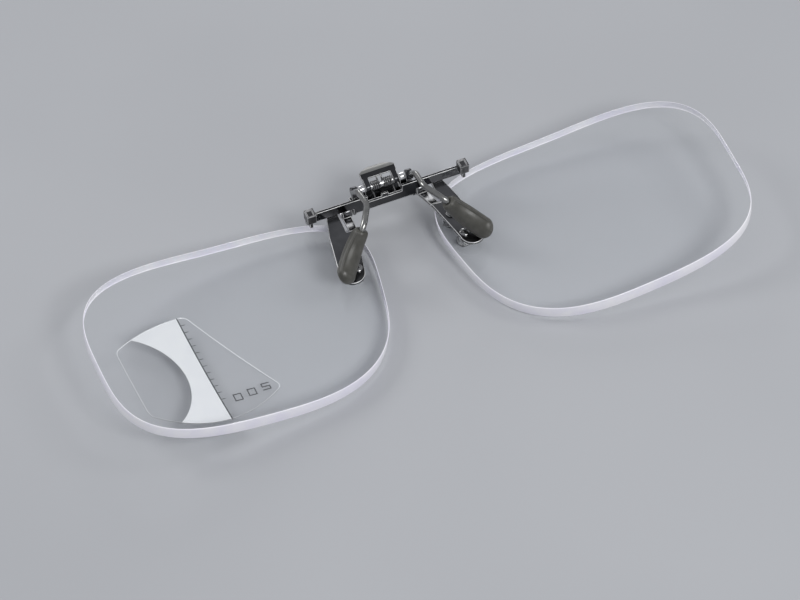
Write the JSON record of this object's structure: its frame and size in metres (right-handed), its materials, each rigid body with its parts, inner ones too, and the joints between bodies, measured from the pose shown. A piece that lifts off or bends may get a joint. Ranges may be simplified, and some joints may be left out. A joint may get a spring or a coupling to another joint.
{
  "type": "clip-on reading glasses",
  "caption": "Rimless flip-up clip-on reading lenses on a short bridge with a sprung clip, wire arms, soft pads and a finger tab.",
  "frame": {"origin": "centre of the bounding box in X and Y, on the surface that the lens fronts lie on", "axes": "+X across the face, +Y up when worn, +Z from the lens fronts towards the wearer"},
  "size_m": [0.1184, 0.0406, 0.0121],
  "materials": {
    "lens_clear": "clear, polished, with a bright edge",
    "label_film": "clear film with white print",
    "dark_sheet": "black nickel plate, glossy",
    "screw_steel": "bright",
    "sleeve_nylon": "clear nylon",
    "bright_steel": "polished",
    "spring_steel": "drawn wire",
    "bumper_plastic": "dark, worn light at the rims",
    "tab_satin": "satin gunmetal",
    "wire_dark": "gunmetal, glossy",
    "pad_rubber": "soft, matt, dark olive grey"
  },
  "bodies": {
    "lens_frame": {"lens_left": "lens_clear", "lens_right": "lens_clear", "tongue_left": "dark_sheet", "tongue_right": "dark_sheet", "lens_screws_left": "screw_steel", "lens_screws_right": "screw_steel", "screw_sleeves_left": "sleeve_nylon", "screw_sleeves_right": "sleeve_nylon", "lens_nuts_left": "screw_steel", "lens_nuts_right": "screw_steel", "flip_pin": "bright_steel", "power_label": "label_film"},
    "bridge": {"bridge_bar": "dark_sheet", "bumper_left": "bumper_plastic", "bumper_right": "bumper_plastic", "clip_base": "dark_sheet", "base_rivets": "screw_steel", "flip_spring": "spring_steel"},
    "clip_lever": {"clip_axle": "bright_steel", "finger_tab": "tab_satin", "arm_left": "wire_dark", "arm_right": "wire_dark", "pad_left": "pad_rubber", "pad_right": "pad_rubber", "clip_spring": "spring_steel"}
  },
  "joints": [
    {"name": "flip_up", "type": "hinge", "parent": "lens_frame", "child": "bridge", "pos_m": [0, 0.01651, 0.00377], "axis": [-1, 0, 0], "range_deg": [0, 90]},
    {"name": "clip_open", "type": "hinge", "parent": "bridge", "child": "clip_lever", "pos_m": [0, 0.01671, 0.008], "axis": [-1, 0, 0], "range_deg": [0, 35], "stiffness_Nm_per_rad": 0.004, "springref_deg": -34.38}
  ]
}
